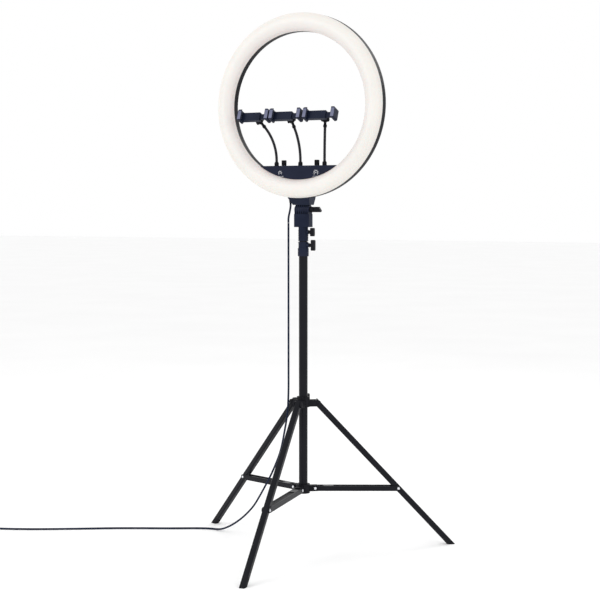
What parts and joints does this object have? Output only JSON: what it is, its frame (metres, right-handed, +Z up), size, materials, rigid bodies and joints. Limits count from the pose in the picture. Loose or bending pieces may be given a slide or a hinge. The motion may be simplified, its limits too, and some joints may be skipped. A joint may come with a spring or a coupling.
{
  "type": "ring light",
  "caption": "Ring light with a milky diffuser, a dimmer panel and gooseneck phone holders on a folding tripod stand.",
  "frame": {"origin": "on the floor, under the middle of the object's outer box without its cord", "axes": "+Z up, the ring faces -Y, +X to the ring's right as seen from the front"},
  "size_m": [1.3323, 0.6331, 1.3495],
  "materials": {
    "satin_black": "satin black paint",
    "soft_black": "fine matt black plastic",
    "navy_black": "smooth blue-black plastic",
    "case_black": "matt black moulded plastic",
    "milk_white": "milky white diffuser, lit from behind",
    "steel": "zinc plated",
    "board_green": "circuit board",
    "led_yellow": "phosphor",
    "rubber_black": "matt rubber",
    "cord_black": "blue-black cord jacket"
  },
  "bodies": {
    "stand": {"column_tube": "satin_black", "brace_hub": "soft_black", "hub_pins": "steel", "tube_clamp": "soft_black", "cord_drop": "cord_black", "mains_plug": "rubber_black"},
    "tube_lock": {"tube_lock_knob": "soft_black"},
    "mast": {"mast_tube": "satin_black", "spigot": "satin_black", "cord_neck": "cord_black"},
    "socket": {"head_socket": "navy_black", "tilt_bolt": "steel"},
    "socket_lock": {"socket_lock_knob": "soft_black"},
    "tilt_lever": {"tilt_knob": "soft_black"},
    "ring_head": {"neck": "navy_black", "rear_housing": "case_black", "diffuser": "milk_white", "led_board": "board_green", "leds": "led_yellow", "case_screws": "steel", "control_front": "navy_black", "control_rear": "case_black", "driver_board": "board_green", "dimmer_pots": "steel", "arm_ferrules": "soft_black", "gooseneck_left": "rubber_black", "gooseneck_middle": "rubber_black", "gooseneck_right": "rubber_black", "cord_gland": "rubber_black", "cord_head": "cord_black"},
    "brightness_dial": {"brightness_knob": "soft_black"},
    "colour_dial": {"colour_knob": "soft_black"},
    "power_rocker": {"power_switch": "case_black"},
    "collar": {"leg_collar": "soft_black", "collar_pins": "satin_black"},
    "collar_lock": {"collar_lock_knob": "soft_black"},
    "leg_right": {"leg_right": "satin_black", "foot_right": "rubber_black"},
    "brace_right": {"brace_right": "satin_black", "brace_rivets_right": "steel"},
    "leg_left": {"leg_left": "satin_black", "foot_left": "rubber_black"},
    "brace_left": {"brace_left": "satin_black", "brace_rivets_left": "steel"},
    "leg_front": {"leg_front": "satin_black", "foot_front": "rubber_black"},
    "brace_front": {"brace_front": "satin_black", "brace_rivets_front": "steel"},
    "arm_top_left": {"ball_left": "soft_black"},
    "cup_left": {"ball_cup_left": "soft_black"},
    "holder_left": {"clamp_back_left": "soft_black"},
    "jaw_left": {"clamp_jaw_left": "soft_black"},
    "arm_top_middle": {"ball_middle": "soft_black"},
    "cup_middle": {"ball_cup_middle": "soft_black"},
    "holder_middle": {"clamp_back_middle": "soft_black"},
    "jaw_middle": {"clamp_jaw_middle": "soft_black"},
    "arm_top_right": {"ball_right": "soft_black"},
    "cup_right": {"ball_cup_right": "soft_black"},
    "holder_right": {"clamp_back_right": "soft_black"},
    "jaw_right": {"clamp_jaw_right": "soft_black"}
  },
  "joints": [
    {"name": "mast_height", "type": "slide", "parent": "stand", "child": "mast", "axis": [0, 0, 1], "range_m": [0, 0.45], "deforming": ["cord_drop"]},
    {"name": "tube_lock_turn", "type": "hinge", "parent": "stand", "child": "tube_lock", "pos_m": [0.02, 0.077, 0.7745], "axis": [1, 0, 0], "range_deg": [-180, 180]},
    {"name": "head_swivel", "type": "hinge", "parent": "mast", "child": "socket", "pos_m": [0.02, 0.077, 0.8], "axis": [0, 0, 1], "range_deg": [-90, 90], "deforming": ["cord_neck"]},
    {"name": "socket_lock_turn", "type": "hinge", "parent": "socket", "child": "socket_lock", "pos_m": [0.02, 0.077, 0.8075], "axis": [1, 0, 0], "range_deg": [-180, 180]},
    {"name": "head_tilt", "type": "hinge", "parent": "socket", "child": "ring_head", "pos_m": [0.02, 0.077, 0.864], "axis": [1, 0, 0], "range_deg": [-60, 60], "deforming": ["cord_head"]},
    {"name": "tilt_lever_turn", "type": "hinge", "parent": "socket", "child": "tilt_lever", "pos_m": [0.02, 0.077, 0.864], "axis": [1, 0, 0], "range_deg": [-90, 90]},
    {"name": "brightness_turn", "type": "hinge", "parent": "ring_head", "child": "brightness_dial", "pos_m": [-0.026, 0.061, 0.98], "axis": [0, 0, 1], "range_deg": [-140, 140]},
    {"name": "colour_turn", "type": "hinge", "parent": "ring_head", "child": "colour_dial", "pos_m": [0.066, 0.061, 0.98], "axis": [0, 0, 1], "range_deg": [-140, 140]},
    {"name": "power_press", "type": "hinge", "parent": "ring_head", "child": "power_rocker", "pos_m": [0.078, 0.074, 0.959], "axis": [0, 0, 1], "range_deg": [0, 12]},
    {"name": "leg_fold", "type": "slide", "parent": "stand", "child": "collar", "axis": [0, 0, 1], "range_m": [0, 0.3064]},
    {"name": "collar_lock_turn", "type": "hinge", "parent": "collar", "child": "collar_lock", "pos_m": [0.02, 0.077, 0.384], "axis": [-0.1045, 0.9945, 0], "range_deg": [-180, 180]},
    {"name": "leg_right_swing", "type": "hinge", "parent": "collar", "child": "leg_right", "pos_m": [0.04912, 0.09816, 0.375], "axis": [-0.5878, 0.809, 0], "range_deg": [0, 43.3]},
    {"name": "brace_right_swing", "type": "hinge", "parent": "stand", "child": "brace_right", "pos_m": [0.04387, 0.09434, 0.1575], "axis": [0.5878, -0.809, 0], "range_deg": [0, 90.6]},
    {"name": "leg_left_swing", "type": "hinge", "parent": "collar", "child": "leg_left", "pos_m": [-0.01289, 0.09164, 0.375], "axis": [-0.4067, -0.9135, 0], "range_deg": [0, 43.3]},
    {"name": "brace_left_swing", "type": "hinge", "parent": "stand", "child": "brace_left", "pos_m": [-0.00695, 0.089, 0.1575], "axis": [0.4067, 0.9135, 0], "range_deg": [0, 90.6]},
    {"name": "leg_front_swing", "type": "hinge", "parent": "collar", "child": "leg_front", "pos_m": [0.02376, 0.0412, 0.375], "axis": [0.9945, 0.1045, 0], "range_deg": [0, 43.3]},
    {"name": "brace_front_swing", "type": "hinge", "parent": "stand", "child": "brace_front", "pos_m": [0.02308, 0.04766, 0.1575], "axis": [-0.9945, -0.1045, 0], "range_deg": [0, 90.6]},
    {"name": "arm_left_bend", "type": "hinge", "parent": "ring_head", "child": "arm_top_left", "pos_m": [-0.066, 0.059, 1.03], "axis": [1, 0, 0], "range_deg": [-25, 30], "deforming": ["gooseneck_left"]},
    {"name": "holder_left_pitch", "type": "hinge", "parent": "arm_top_left", "child": "cup_left", "pos_m": [-0.085, 0.04394, 1.08489], "axis": [1, 0, 0], "range_deg": [-20, 20]},
    {"name": "holder_left_spin", "type": "hinge", "parent": "cup_left", "child": "holder_left", "pos_m": [-0.085, 0.04394, 1.08489], "axis": [0, -0.9336, 0.3584], "range_deg": [-90, 90]},
    {"name": "jaw_left_slide", "type": "slide", "parent": "holder_left", "child": "jaw_left", "axis": [1, 0, 0], "range_m": [-0.016, 0.001]},
    {"name": "arm_middle_bend", "type": "hinge", "parent": "ring_head", "child": "arm_top_middle", "pos_m": [0.012, 0.059, 1.03], "axis": [1, 0, 0], "range_deg": [-25, 30], "deforming": ["gooseneck_middle"]},
    {"name": "holder_middle_pitch", "type": "hinge", "parent": "arm_top_middle", "child": "cup_middle", "pos_m": [0.004, 0.04394, 1.08489], "axis": [1, 0, 0], "range_deg": [-20, 20]},
    {"name": "holder_middle_spin", "type": "hinge", "parent": "cup_middle", "child": "holder_middle", "pos_m": [0.004, 0.04394, 1.08489], "axis": [0, -0.9336, 0.3584], "range_deg": [-90, 90]},
    {"name": "jaw_middle_slide", "type": "slide", "parent": "holder_middle", "child": "jaw_middle", "axis": [1, 0, 0], "range_m": [-0.016, 0.001]},
    {"name": "arm_right_bend", "type": "hinge", "parent": "ring_head", "child": "arm_top_right", "pos_m": [0.092, 0.059, 1.03], "axis": [1, 0, 0], "range_deg": [-25, 30], "deforming": ["gooseneck_right"]},
    {"name": "holder_right_pitch", "type": "hinge", "parent": "arm_top_right", "child": "cup_right", "pos_m": [0.097, 0.04394, 1.08489], "axis": [1, 0, 0], "range_deg": [-20, 20]},
    {"name": "holder_right_spin", "type": "hinge", "parent": "cup_right", "child": "holder_right", "pos_m": [0.097, 0.04394, 1.08489], "axis": [0, -0.9336, 0.3584], "range_deg": [-90, 90]},
    {"name": "jaw_right_slide", "type": "slide", "parent": "holder_right", "child": "jaw_right", "axis": [1, 0, 0], "range_m": [-0.016, 0.001]}
  ],
  "couplings": [
    {"joint": "leg_right_swing", "follows": "leg_fold", "rad_per_m": 2.4542},
    {"joint": "brace_right_swing", "follows": "leg_fold", "rad_per_m": 5.1337},
    {"joint": "leg_left_swing", "follows": "leg_fold", "rad_per_m": 2.4542},
    {"joint": "brace_left_swing", "follows": "leg_fold", "rad_per_m": 5.1337},
    {"joint": "leg_front_swing", "follows": "leg_fold", "rad_per_m": 2.4542},
    {"joint": "brace_front_swing", "follows": "leg_fold", "rad_per_m": 5.1337}
  ]
}
